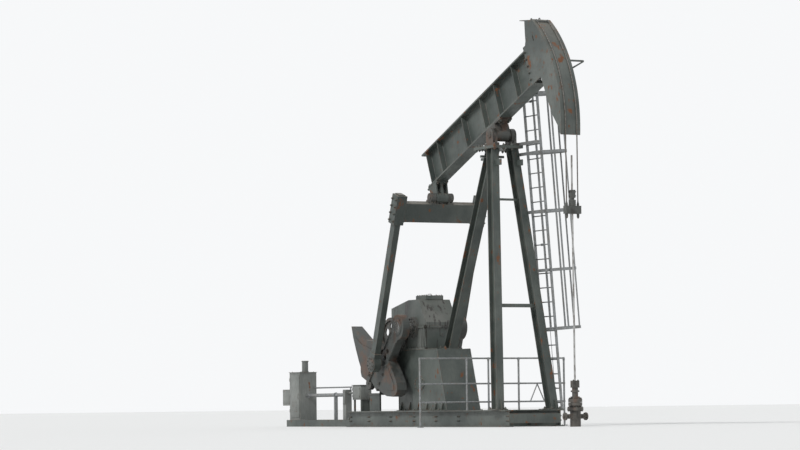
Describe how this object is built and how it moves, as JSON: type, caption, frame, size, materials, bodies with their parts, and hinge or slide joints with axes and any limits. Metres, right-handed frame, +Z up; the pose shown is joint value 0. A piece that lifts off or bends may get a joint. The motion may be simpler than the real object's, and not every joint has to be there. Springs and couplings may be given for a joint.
{
  "type": "beam pumping unit",
  "caption": "Crank-balanced beam pumping unit with horsehead, samson post, caged ladder, gear reducer, guard rail and wellhead; nodding beam drives the polished rod",
  "frame": {"origin": "underside of the skid, straight below the saddle bearing", "axes": "+X runs along the beam toward the well, +Z is up, +Y completes the right-handed set"},
  "size_m": [13.4153, 3.5898, 8.5215],
  "materials": {
    "dark_paint": "weathered satin paint with rust",
    "head_paint": "weathered satin paint with rust",
    "cast_parts": "painted casting, oily",
    "case_paint": "satin paint, oily",
    "galvanised": "dull zinc coating",
    "cabinet_paint": "faded paint",
    "belt_rubber": "matte",
    "bright_steel": "polished, greasy",
    "wire_steel": "stranded wire, greased"
  },
  "bodies": {
    "base": {"skid_beams": "dark_paint", "skid_cross_members": "dark_paint", "pedestal": "dark_paint", "front_legs": "dark_paint", "rear_leg": "dark_paint", "leg_braces": "dark_paint", "post_cap": "dark_paint", "saddle_housings": "cast_parts", "ladder": "galvanised", "cage_hoops": "galvanised", "cage_straps": "galvanised", "ladder_brackets": "galvanised", "gear_case": "case_paint", "inspection_cover": "case_paint", "shaft_bearing_caps": "cast_parts", "brake_drum": "cast_parts", "sheaves": "cast_parts", "drive_belts": "belt_rubber", "motor": "case_paint", "motor_mount": "dark_paint", "cabinet": "cabinet_paint", "cabinet_vent": "cabinet_paint", "extension_rails": "dark_paint", "service_pipe": "galvanised", "side_box": "cabinet_paint", "junction_box": "cabinet_paint", "hand_rail": "galvanised", "guard_rail": "galvanised", "casing_head": "cast_parts", "stuffing_box": "cast_parts"},
    "beam": {"walking_beam": "dark_paint", "saddle_shaft": "cast_parts", "beam_stiffeners": "dark_paint", "horsehead": "head_paint", "head_face": "head_paint", "tail_bracket": "dark_paint", "bridle_wrap": "wire_steel"},
    "equalizer_frame": {"equalizer": "dark_paint", "equalizer_bearing": "cast_parts", "pitmans": "dark_paint"},
    "cranks": {"crankshaft": "bright_steel", "cranks": "cast_parts", "counterweights": "cast_parts", "wrist_pins": "cast_parts"},
    "carrier": {"carrier_bar": "cast_parts", "rod_clamp": "bright_steel", "polished_rod": "bright_steel", "rod_exposed": "bright_steel", "bridle_wires": "wire_steel"}
  },
  "joints": [
    {"name": "beam_pivot", "type": "hinge", "parent": "base", "child": "beam", "pos_m": [0, 0, 6.2], "axis": [0, 1, 0], "range_deg": [0, 24]},
    {"name": "equalizer_pivot", "type": "hinge", "parent": "beam", "child": "equalizer_frame", "pos_m": [-2.71549, 0, 5.04734], "axis": [0, 1, 0], "range_deg": [-23.58, 0]},
    {"name": "crank_turn", "type": "hinge", "parent": "base", "child": "cranks", "pos_m": [-3.3, 0, 2.2], "axis": [0, 1, 0], "range_deg": [0, 70.96]},
    {"name": "rod_stroke", "type": "slide", "parent": "base", "child": "carrier", "axis": [0, 0, 1], "range_m": [-1.2027, 0], "deforming": ["rod_exposed", "bridle_wires"]}
  ],
  "couplings": [
    {"joint": "equalizer_pivot", "follows": "beam_pivot", "ratio": -0.9821},
    {"joint": "crank_turn", "follows": "beam_pivot", "ratio": 2.9561},
    {"joint": "rod_stroke", "follows": "beam_pivot", "m_per_rad": -2.87}
  ]
}
